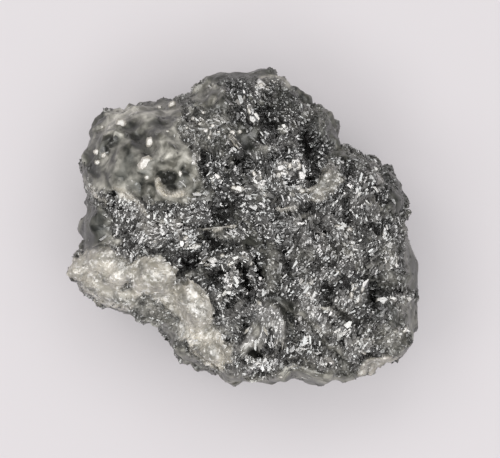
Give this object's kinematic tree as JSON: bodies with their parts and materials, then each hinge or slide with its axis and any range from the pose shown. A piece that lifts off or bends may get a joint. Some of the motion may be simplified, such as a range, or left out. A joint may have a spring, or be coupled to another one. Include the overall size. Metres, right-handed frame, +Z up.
{
  "type": "rough diamond",
  "caption": "Uncut grey diamond crystal aggregate: a flat-bottomed lumpy stone crusted with small intergrown crystals, with a pale translucent edge.",
  "frame": {"origin": "middle of the stone's box, on the flat natural cleavage face that it rests on", "axes": "+Z up from the resting face to the wide crystal-covered face, +X along the stone's length, +Y across it"},
  "size_m": [0.0106, 0.0096, 0.0068],
  "materials": {
    "diamond": "gloss"
  },
  "bodies": {
    "root": {"rough_diamond": "diamond"}
  },
  "joints": []
}
